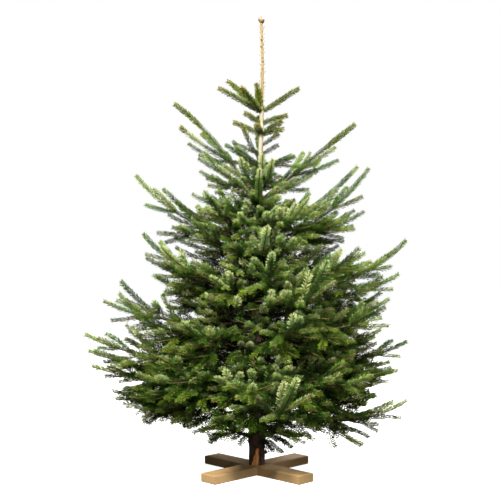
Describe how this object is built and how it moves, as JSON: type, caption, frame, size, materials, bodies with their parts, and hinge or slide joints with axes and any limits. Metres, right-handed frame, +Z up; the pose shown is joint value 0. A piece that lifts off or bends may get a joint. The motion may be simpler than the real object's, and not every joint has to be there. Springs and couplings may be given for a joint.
{
  "type": "cut christmas tree on a cross stand",
  "caption": "Cut needle-leaved evergreen about 1.9 m tall, open whorled crown and bare leader, screwed upright to a plain half-lapped timber cross.",
  "frame": {"origin": "middle of the stand's flat underside, under the trunk's flat cut", "axes": "+Z up along the trunk, +X to the right seen from the front, -Y towards the viewer in front; the cross's arms run at 45 degrees to X and Y"},
  "size_m": [1.3616, 1.1915, 1.9163],
  "materials": {
    "trunk_bark": "rough brown bark, paling to cream near the top",
    "bough_bark": "smooth grey-brown bark",
    "needles": "dark green glossy needles, silver-green beneath",
    "stand_timber": "planed pale softwood, unvarnished",
    "stand_screw": "zinc plated"
  },
  "bodies": {
    "root": {"eighth_bough_1": "bough_bark", "eighth_bough_2": "bough_bark", "eighth_bough_3": "bough_bark", "eighth_bough_4": "bough_bark", "eighth_bough_5": "bough_bark", "eighth_bough_6": "bough_bark", "eighth_foliage_1": "needles", "eighth_foliage_2": "needles", "eighth_foliage_3": "needles", "eighth_foliage_4": "needles", "eighth_foliage_5": "needles", "eighth_foliage_6": "needles", "fifth_foliage_1": "needles", "fifth_foliage_2": "needles", "fifth_foliage_3": "needles", "fifth_foliage_4": "needles", "fifth_foliage_5": "needles", "fifth_foliage_6": "needles", "fourth_foliage_1": "needles", "fourth_foliage_2": "needles", "fourth_foliage_3": "needles", "fourth_foliage_4": "needles", "fourth_foliage_5": "needles", "fourth_foliage_6": "needles", "lower_twigs": "needles", "second_whorl": "needles", "seventh_bough_1": "bough_bark", "seventh_bough_2": "bough_bark", "seventh_bough_3": "bough_bark", "seventh_bough_4": "bough_bark", "seventh_bough_5": "bough_bark", "seventh_bough_6": "bough_bark", "seventh_bough_7": "bough_bark", "seventh_foliage_1": "needles", "seventh_foliage_2": "needles", "seventh_foliage_3": "needles", "seventh_foliage_4": "needles", "seventh_foliage_5": "needles", "seventh_foliage_6": "needles", "seventh_foliage_7": "needles", "sixth_foliage_1": "needles", "sixth_foliage_2": "needles", "sixth_foliage_3": "needles", "sixth_foliage_4": "needles", "sixth_foliage_5": "needles", "sixth_foliage_6": "needles", "skirt_foliage_1": "needles", "skirt_foliage_2": "needles", "stand_lower_board": "stand_timber", "stand_screw": "stand_screw", "stand_upper_board": "stand_timber", "third_foliage_1": "needles", "third_foliage_2": "needles", "third_foliage_3": "needles", "third_foliage_4": "needles", "third_foliage_5": "needles", "third_foliage_6": "needles", "top_whorl": "needles", "trunk": "trunk_bark", "upper_twigs": "needles"}
  },
  "joints": []
}
